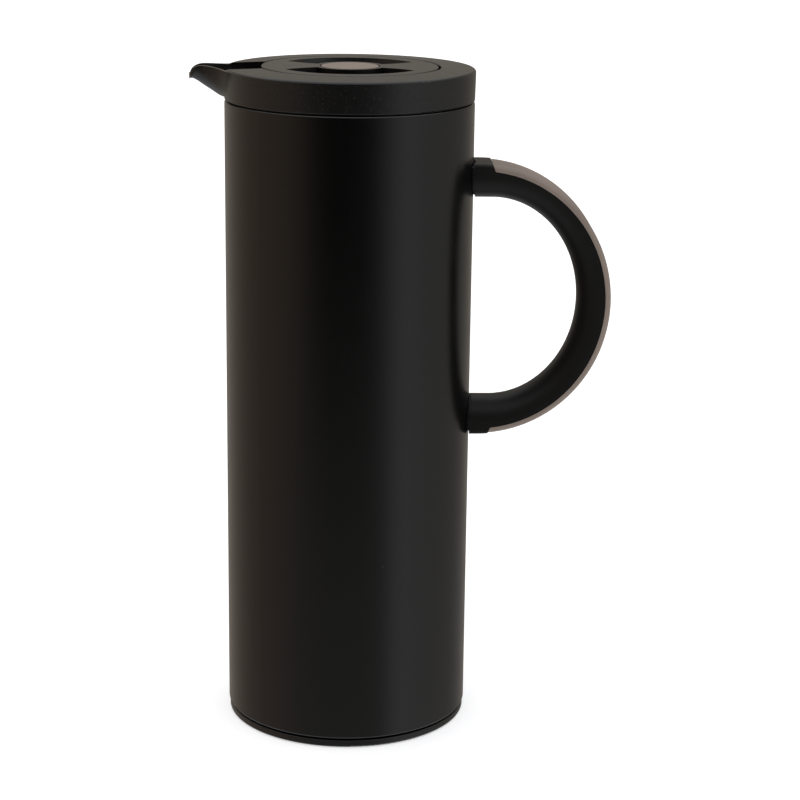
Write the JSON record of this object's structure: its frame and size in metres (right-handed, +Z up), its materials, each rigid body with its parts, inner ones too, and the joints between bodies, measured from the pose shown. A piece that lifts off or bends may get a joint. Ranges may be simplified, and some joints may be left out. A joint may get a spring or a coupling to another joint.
{
  "type": "thermal jug",
  "caption": "Tall cylindrical thermal jug with glass flask, D-shaped handle, pouring beak and screw-in lid whose push button opens the pouring valve.",
  "frame": {"origin": "centre of the foot ring on the floor", "axes": "+Z up along the jug's axis, +X towards the handle, -X towards the spout"},
  "size_m": [0.1873, 0.1106, 0.2986],
  "materials": {
    "black_lacquer": "satin black lacquer on steel",
    "black_plastic": "fine grained black moulding",
    "handle_plastic": "smooth satin black moulding",
    "taupe_plastic": "fine matt taupe moulding",
    "inner_plastic": "plain black moulding",
    "black_rubber": "soft matt",
    "clear_silicone": "translucent grey silicone",
    "flask_glass": "silvered glass",
    "steel": "plain stainless"
  },
  "bodies": {
    "jug": {"outer_shell": "black_lacquer", "base_cap": "black_plastic", "foot_ring": "black_rubber", "base_insert_ring": "inner_plastic", "flask_cushion": "clear_silicone", "flask_outer_wall": "flask_glass", "flask_inner_wall": "flask_glass", "flask_spacers": "inner_plastic", "neck_gasket": "clear_silicone", "pour_collar": "black_plastic", "throat_funnel": "inner_plastic", "handle_core": "handle_plastic", "handle_inlay": "taupe_plastic", "handle_pads": "black_rubber", "handle_plates": "steel", "handle_screws": "steel"},
    "lid_seal": {"lid_rim_seal": "black_rubber"},
    "lid": {"lid_cap": "black_plastic", "lid_underplate": "inner_plastic", "stopper_body": "inner_plastic", "stopper_seal": "clear_silicone", "stem_seal": "clear_silicone", "latch_sleeve": "inner_plastic", "return_spring": "steel"},
    "button": {"button_cap": "taupe_plastic", "button_body": "black_plastic", "valve_stem": "inner_plastic", "valve_plate": "inner_plastic", "valve_seal": "clear_silicone", "valve_screw": "steel"},
    "latch": {"latch_rotor": "inner_plastic"}
  },
  "joints": [
    {"name": "lid_rise", "type": "slide", "parent": "jug", "child": "lid_seal", "axis": [0, 0, 1], "range_m": [0, 0.0076]},
    {"name": "lid_turn", "type": "hinge", "parent": "lid_seal", "child": "lid", "pos_m": [0, 0, 0.2985], "axis": [0, 0, 1], "range_deg": [0, 300]},
    {"name": "button_press", "type": "slide", "parent": "lid", "child": "button", "axis": [0, 0, -1], "range_m": [0, 0.005], "stiffness_N_per_m": 700, "springref_m": -0.003, "deforming": ["return_spring"]},
    {"name": "latch_turn", "type": "hinge", "parent": "button", "child": "latch", "pos_m": [0, 0, 0.2865], "axis": [0, 0, -1], "range_deg": [0, 70.1]}
  ],
  "couplings": [
    {"joint": "lid_rise", "follows": "lid_turn", "m_per_rad": 0.0014324},
    {"joint": "latch_turn", "follows": "button_press", "rad_per_m": 244.35}
  ]
}
